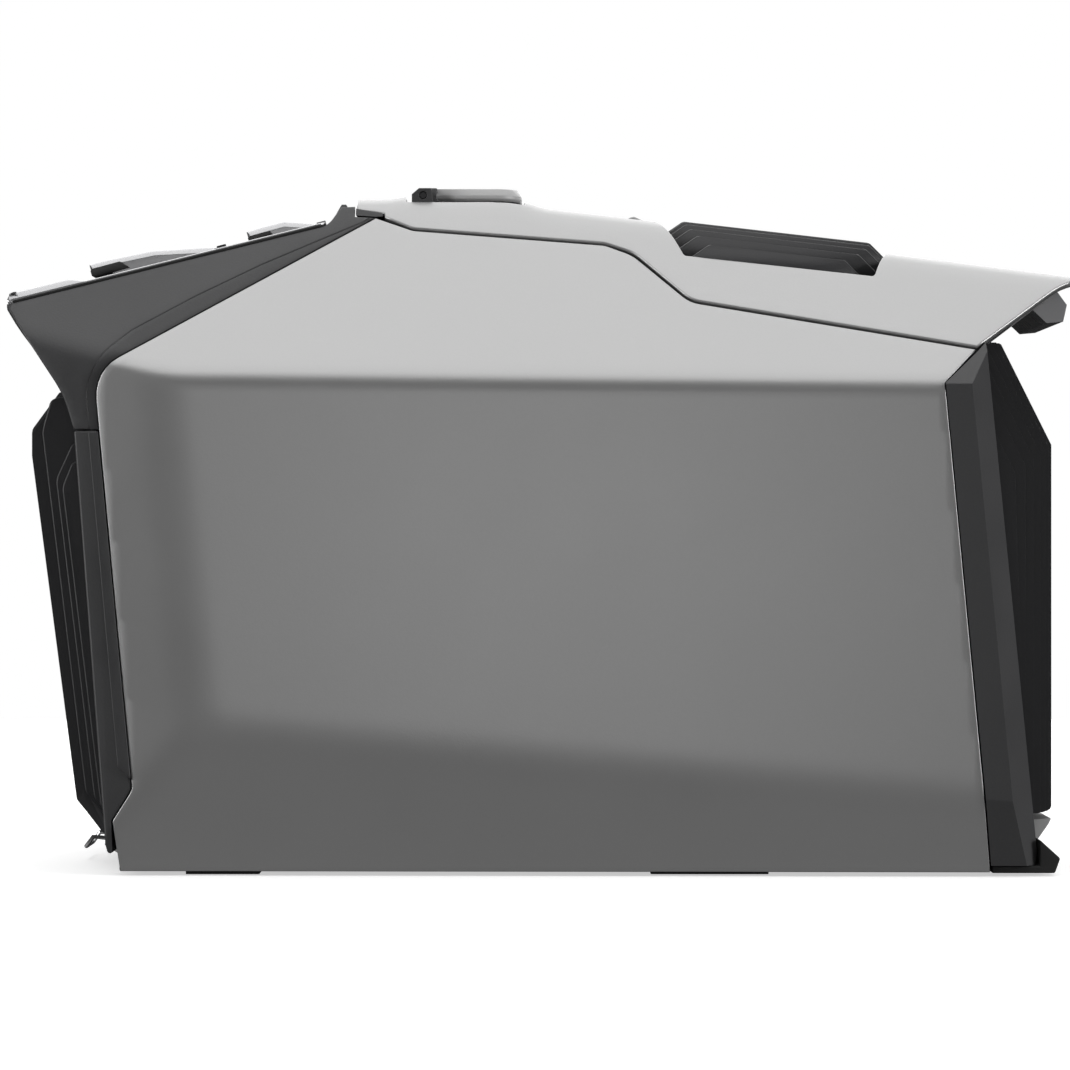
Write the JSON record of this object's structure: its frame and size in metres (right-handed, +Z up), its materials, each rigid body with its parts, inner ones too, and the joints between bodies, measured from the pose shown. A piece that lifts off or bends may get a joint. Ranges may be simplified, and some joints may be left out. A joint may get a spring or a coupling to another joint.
{
  "type": "portable power station",
  "caption": "Portable power station with sloping flap-covered console, ribbed vents in front, on top and behind, fold-up carrying handle and rear charging door.",
  "frame": {"origin": "centre of the footprint, at the soles of the feet", "axes": "-X is the front with the console, +X the rear, -Y the right flank, +Z up"},
  "size_m": [0.5115, 0.27, 0.331],
  "materials": {
    "shell": "fine-grained light grey casing",
    "dark": "dark grey, finely textured",
    "black": "black, semi-matt",
    "gloss": "smooth dark grey",
    "glass": "smoked display window",
    "rubber": "matt black",
    "steel": "bare steel",
    "alloy": "extruded, bare",
    "silver": "pale grey",
    "cell": "blue-sleeved cell block in alloy cans",
    "board": "green circuit board"
  },
  "bodies": {
    "chassis": {"ac_hinge_pin": "steel", "ac_inlet": "black", "ac_outlet_1": "black", "ac_outlet_2": "black", "ac_outlet_3": "black", "ac_outlet_4": "black", "base_tray": "black", "battery_bracket": "steel", "battery_module_front": "cell", "battery_module_rear": "cell", "car_socket": "black", "console_housing": "dark", "console_trim": "black", "control_board": "board", "dc_hinge_pin": "steel", "display_lens": "glass", "fan_housing_front": "black", "fan_housing_rear": "black", "foot_front_left": "rubber", "foot_front_right": "rubber", "foot_rear_left": "rubber", "foot_rear_right": "rubber", "front_catch": "silver", "front_frame": "dark", "front_vent": "black", "handle_bed": "dark", "handle_rod": "steel", "heatsink": "alloy", "input_bay": "dark", "input_door_pin": "steel", "inverter_board": "board", "panel_plate": "black", "panel_seal": "rubber", "rear_bumper_left": "rubber", "rear_bumper_right": "rubber", "rear_frame": "dark", "rear_lip": "silver", "rear_vent": "black", "seam_strip_left": "black", "seam_strip_right": "black", "side_shell_left": "shell", "side_shell_right": "shell", "solar_inlet": "black", "tail_panel": "dark", "top_cover": "shell", "top_vent": "black", "top_vent_latch": "silver", "transformer": "silver", "usb_a_ports": "black", "usb_c_ports": "black"},
    "ac_flap": {"ac_flap": "gloss"},
    "dc_flap": {"dc_flap": "gloss"},
    "power_button": {"power_button": "silver"},
    "ac_button": {"ac_button": "gloss"},
    "dc_button": {"dc_button": "gloss"},
    "handle": {"handle": "gloss"},
    "input_door": {"input_door": "gloss"},
    "front_bail": {"front_bail": "steel"},
    "fan_rotor_front": {"fan_rotor_front": "black"},
    "fan_rotor_rear": {"fan_rotor_rear": "black"}
  },
  "joints": [
    {"name": "ac_flap_hinge", "type": "hinge", "parent": "chassis", "child": "ac_flap", "pos_m": [-0.1543, 0, 0.29992], "axis": [0, 1, 0], "range_deg": [0, 110]},
    {"name": "dc_flap_hinge", "type": "hinge", "parent": "chassis", "child": "dc_flap", "pos_m": [-0.10675, 0, 0.31255], "axis": [0, 1, 0], "range_deg": [0, 110]},
    {"name": "handle_hinge", "type": "hinge", "parent": "chassis", "child": "handle", "pos_m": [-0.0571, 0, 0.3269], "axis": [0, -1, 0], "range_deg": [0, 90]},
    {"name": "input_door_hinge", "type": "hinge", "parent": "chassis", "child": "input_door", "pos_m": [0.22978, 0, 0.26572], "axis": [0, 1, 0], "range_deg": [0, 60]},
    {"name": "front_bail_hinge", "type": "hinge", "parent": "chassis", "child": "front_bail", "pos_m": [-0.213, 0, 0.0105], "axis": [0, 1, 0], "range_deg": [-20, 10]},
    {"name": "power_press", "type": "slide", "parent": "chassis", "child": "power_button", "axis": [0.2568, 0, -0.9665], "range_m": [0, 0.001], "stiffness_N_per_m": 500, "springref_m": -0.0005},
    {"name": "ac_press", "type": "slide", "parent": "chassis", "child": "ac_button", "axis": [0.2568, 0, -0.9665], "range_m": [0, 0.001], "stiffness_N_per_m": 500, "springref_m": -0.0005},
    {"name": "dc_press", "type": "slide", "parent": "chassis", "child": "dc_button", "axis": [0.2568, 0, -0.9665], "range_m": [0, 0.001], "stiffness_N_per_m": 500, "springref_m": -0.0005},
    {"name": "front_fan_spin", "type": "hinge", "parent": "chassis", "child": "fan_rotor_front", "pos_m": [-0.16, 0, 0.1542], "axis": [1, 0, 0], "continuous": true},
    {"name": "rear_fan_spin", "type": "hinge", "parent": "chassis", "child": "fan_rotor_rear", "pos_m": [0.16, 0, 0.1542], "axis": [1, 0, 0], "continuous": true}
  ]
}
